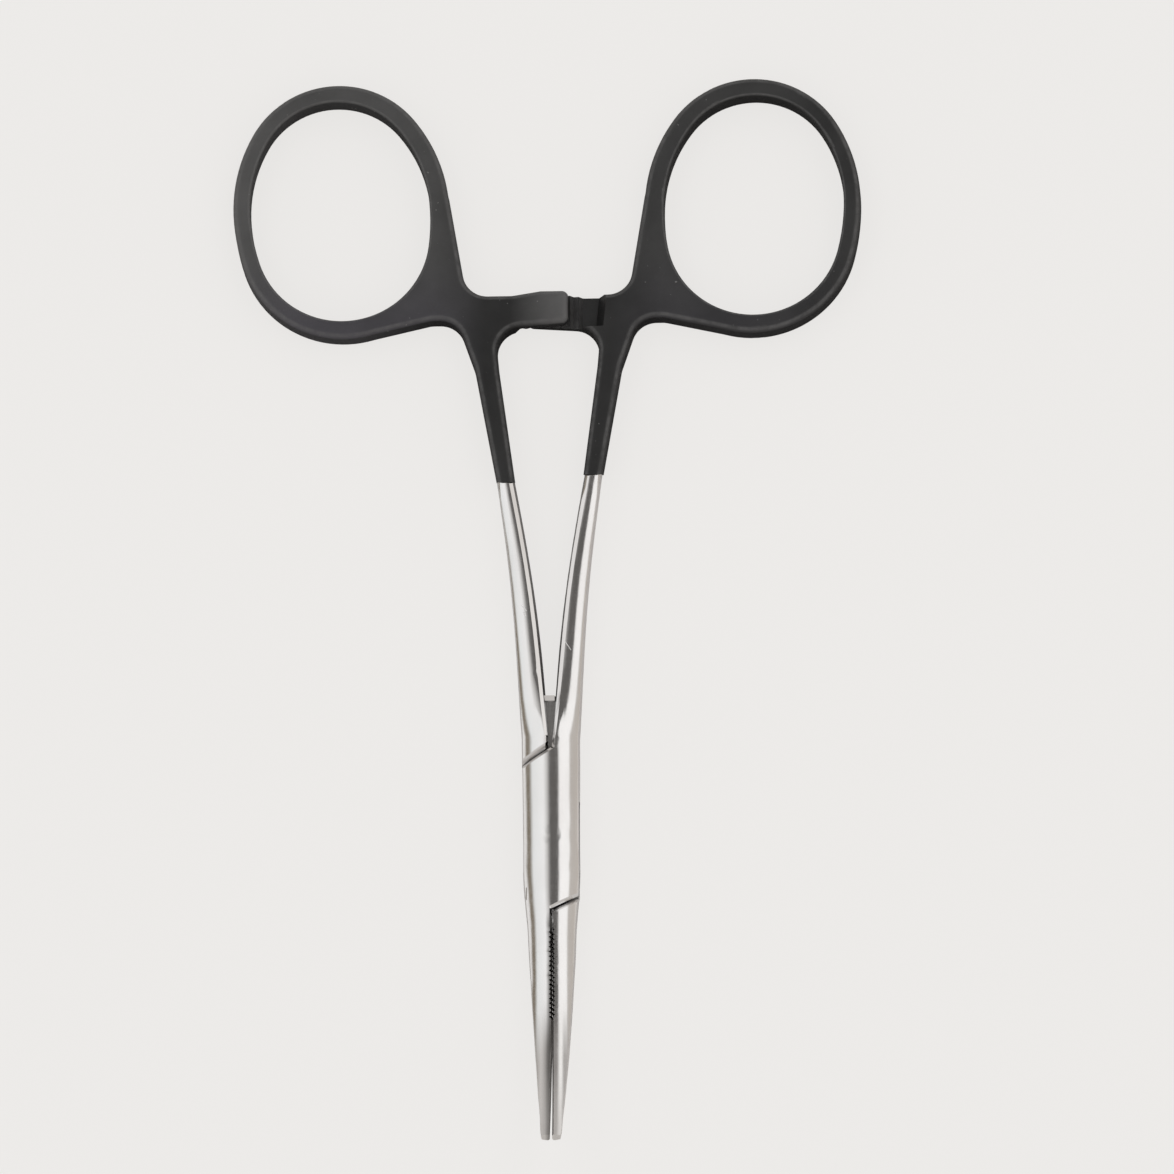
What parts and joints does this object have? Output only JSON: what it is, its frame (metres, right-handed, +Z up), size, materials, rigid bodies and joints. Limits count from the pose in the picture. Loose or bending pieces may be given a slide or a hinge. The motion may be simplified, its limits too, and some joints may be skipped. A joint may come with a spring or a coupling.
{
  "type": "curved forceps",
  "caption": "Slender curved locking forceps with a box lock, half-serrated jaws, a toothed ratchet between the shanks and black coated finger rings.",
  "frame": {"origin": "middle of the bounding box at its lowest level, under the lower shanks", "axes": "+Y along the instrument from the jaws to the finger rings, +Z up toward the side that the jaws curve to, +X to the half that carries the box of the lock"},
  "size_m": [0.071, 0.1242, 0.0105],
  "materials": {
    "steel": "satin",
    "pin_steel": "satin",
    "coating": "matt"
  },
  "bodies": {
    "female": {"female_half": "steel", "lock_pin": "pin_steel", "female_grip_coating": "coating"},
    "male": {"male_half": "steel", "male_grip_coating": "coating"}
  },
  "joints": [
    {"name": "box_lock", "type": "hinge", "parent": "female", "child": "male", "pos_m": [0.00001, -0.02562, 0.00221], "axis": [0, 0, 1], "range_deg": [0, 50]}
  ]
}
